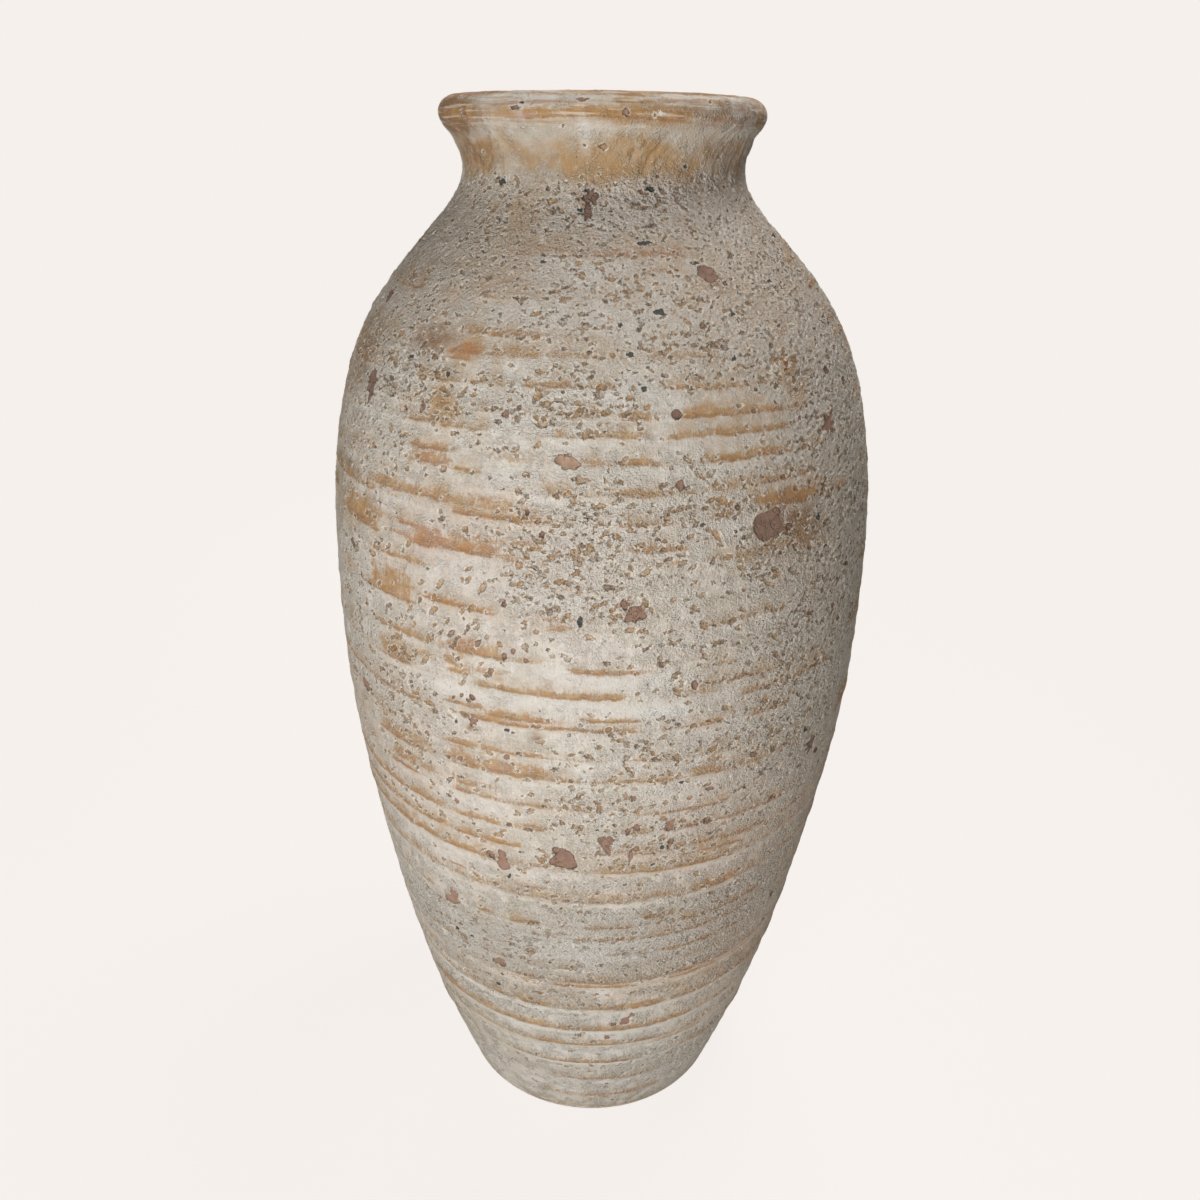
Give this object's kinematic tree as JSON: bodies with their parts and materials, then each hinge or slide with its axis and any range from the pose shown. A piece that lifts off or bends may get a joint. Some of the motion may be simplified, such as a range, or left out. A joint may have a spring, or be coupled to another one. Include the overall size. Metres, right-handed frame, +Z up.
{
  "type": "amphora vase",
  "caption": "Tall shouldered earthenware jar without handles: narrow flat foot, high round belly, short waisted collar and rolled rim, thrown in stacked courses under a pitted lime wash.",
  "frame": {"origin": "middle of the flat underside", "axes": "+Z up along the jar's axis of revolution; the jar is round, so X and Y are any two level directions, with the pictured side facing -Y"},
  "size_m": [0.3542, 0.3542, 0.7],
  "materials": {
    "base_slab": "matt fired clay, worn lime wash on the edge",
    "foot_course": "matt smooth lime wash, greenish grey",
    "lower_course": "matt lime wash with chips down to the clay",
    "middle_course": "matt lime wash, thin ochre bands on the rings",
    "belly_course": "matt lime wash, broad ochre bands on the rings",
    "upper_course": "matt pitted lime wash with ochre bands",
    "shoulder_course": "matt, densely pitted lime wash",
    "throat_course": "matt, finely pitted lime wash",
    "neck_collar": "matt wrinkled lime wash with an ochre stain",
    "rim_roll": "matt, brushed ochre and white streaks"
  },
  "bodies": {
    "root": {"base_slab": "base_slab", "foot_course": "foot_course", "lower_course": "lower_course", "middle_course": "middle_course", "belly_course": "belly_course", "upper_course": "upper_course", "shoulder_course": "shoulder_course", "throat_course": "throat_course", "neck_collar": "neck_collar", "rim_roll": "rim_roll"}
  },
  "joints": []
}
